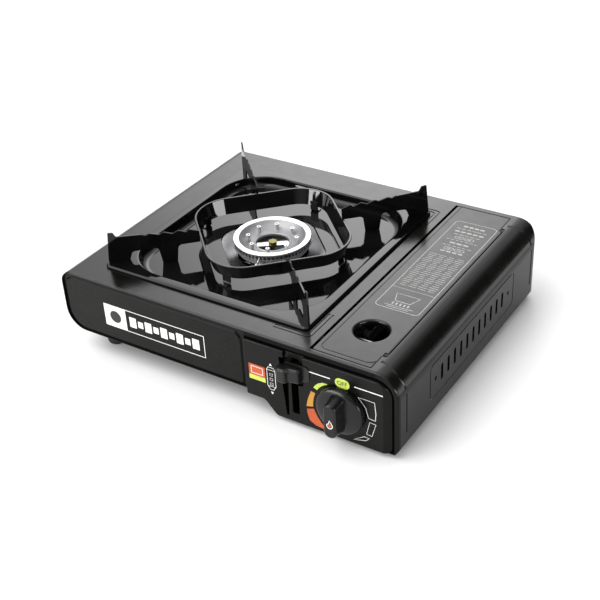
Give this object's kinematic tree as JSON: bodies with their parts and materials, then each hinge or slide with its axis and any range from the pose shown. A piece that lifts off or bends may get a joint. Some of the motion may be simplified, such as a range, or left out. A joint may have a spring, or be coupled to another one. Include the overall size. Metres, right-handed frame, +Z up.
{
  "type": "camping stove",
  "caption": "Portable gas camping stove with a low box housing, drip pan, windshield ring, diagonal pot supports, hinged cartridge lid, control knob and cartridge lock lever.",
  "frame": {"origin": "on the table, under the middle of the bounding box", "axes": "+Z up, -Y towards the user (the control side), +X towards the cartridge bay"},
  "size_m": [0.343, 0.297, 0.1124],
  "materials": {
    "housing_paint": "satin black stove paint",
    "panel_paint": "satin black stove paint with printed scale",
    "lid_paint": "satin black stove paint with printed frame",
    "enamel": "glossy black vitreous enamel",
    "ring_enamel": "glossy black vitreous enamel",
    "support_enamel": "glossy black vitreous enamel",
    "burner_cast": "cast, brushed",
    "burner_rim": "turned bright",
    "steel": "satin",
    "brass": "turned",
    "zinc_plate": "zinc plated",
    "die_cast": "die cast, matt",
    "knob_plastic": "moulded, satin",
    "lever_plastic": "moulded, satin",
    "igniter_plastic": "moulded, satin",
    "rubber": "moulded, matt",
    "ceramic": "glazed ceramic",
    "lead_cover": "silicone sleeve"
  },
  "bodies": {
    "housing": {"base_screws": "housing_paint", "burner_body": "burner_cast", "burner_bracket": "zinc_plate", "burner_bridge": "steel", "burner_dish": "zinc_plate", "burner_inner_cone": "burner_cast", "burner_posts": "burner_rim", "burner_ring": "burner_rim", "burner_screw": "brass", "carriage_guides": "steel", "control_panel": "panel_paint", "cradle_rails": "zinc_plate", "crank_pin": "steel", "electrode_clip": "steel", "electrode_insulator": "ceramic", "foot_front_left": "rubber", "foot_front_right": "rubber", "foot_rear_left": "rubber", "foot_rear_right": "rubber", "front_frame": "panel_paint", "front_panel": "housing_paint", "gas_jet": "brass", "heat_shield": "zinc_plate", "hinge_lug_front": "housing_paint", "hinge_lug_rear": "housing_paint", "ignition_electrode": "steel", "ignition_lead": "lead_cover", "left_floor": "housing_paint", "left_side_panel": "housing_paint", "locating_collar": "zinc_plate", "mixing_tube": "zinc_plate", "piezo_igniter": "igniter_plastic", "rear_wall": "housing_paint", "regulator": "die_cast", "regulator_bracket": "zinc_plate", "right_floor": "housing_paint", "right_side_panel": "housing_paint", "top_deck": "housing_paint"},
    "lid": {"cartridge_lid": "lid_paint", "hinge_pin_front": "steel", "hinge_pin_rear": "steel"},
    "knob": {"control_knob": "knob_plastic", "valve_spindle": "steel", "igniter_cam": "knob_plastic"},
    "striker": {"striker": "knob_plastic"},
    "lever": {"lock_lever": "lever_plastic"},
    "crank": {"lock_crank": "steel"},
    "carriage": {"carriage": "steel"},
    "pan_set": {"drip_pan": "enamel", "windshield_ring": "ring_enamel", "pot_support_front_left": "support_enamel", "pot_support_front_right": "support_enamel", "pot_support_rear_left": "support_enamel", "pot_support_rear_right": "support_enamel"}
  },
  "joints": [
    {"name": "lid_hinge", "type": "hinge", "parent": "housing", "child": "lid", "pos_m": [0.1469, 0.011, 0.0786], "axis": [0, 1, 0], "range_deg": [0, 100]},
    {"name": "knob_turn", "type": "hinge", "parent": "housing", "child": "knob", "pos_m": [0.1213, -0.1265, 0.036], "axis": [0, -1, 0], "range_deg": [0, 135]},
    {"name": "striker_press", "type": "slide", "parent": "housing", "child": "striker", "axis": [1, 0, 0], "range_m": [0, 0.004]},
    {"name": "lever_slide", "type": "slide", "parent": "housing", "child": "lever", "axis": [0, 0, -1], "range_m": [0, 0.028]},
    {"name": "crank_turn", "type": "hinge", "parent": "housing", "child": "crank", "pos_m": [0.0875, -0.0945, 0.03], "axis": [1, 0, 0], "range_deg": [0, 80.01]},
    {"name": "carriage_slide", "type": "slide", "parent": "housing", "child": "carriage", "axis": [0, -1, 0], "range_m": [0, 0.00701]},
    {"name": "pan_lift", "type": "slide", "parent": "housing", "child": "pan_set", "axis": [0, 0, 1], "range_m": [0, 0.06]}
  ],
  "couplings": [
    {"joint": "striker_press", "follows": "knob_turn", "m_per_rad": 0.0016934},
    {"joint": "crank_turn", "follows": "lever_slide", "rad_per_m": 49.867},
    {"joint": "carriage_slide", "follows": "lever_slide", "ratio": 0.25}
  ]
}
